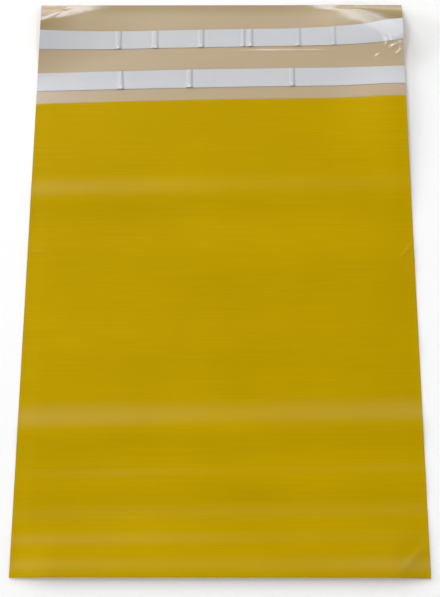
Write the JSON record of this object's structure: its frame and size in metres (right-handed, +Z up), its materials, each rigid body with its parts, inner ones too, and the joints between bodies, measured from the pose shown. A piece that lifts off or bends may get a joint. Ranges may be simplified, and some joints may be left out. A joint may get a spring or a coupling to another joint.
{
  "type": "poly mailer bag",
  "caption": "Flat, empty polyethylene mailing bag, mustard outside and beige inside, with an open flap that carries adhesive strips under white release liners.",
  "frame": {"origin": "on the table under the middle of the bag, the bottom centre of its box", "axes": "+X across the bag to the right, +Y from the bottom fold to the end of the flap, +Z up out of the front panel"},
  "size_m": [0.35, 0.5543, 0.0179],
  "materials": {
    "film": "satin co-extruded polyethylene film, mustard yellow outside and beige inside",
    "adhesive": "tacky translucent hot-melt adhesive",
    "liner": "white silicone-coated release film"
  },
  "bodies": {
    "root": {"bag_film": "film", "adhesive_strip_lower": "adhesive", "release_liner_lower": "liner", "adhesive_strip_upper": "adhesive", "release_liner_upper": "liner"}
  },
  "joints": []
}
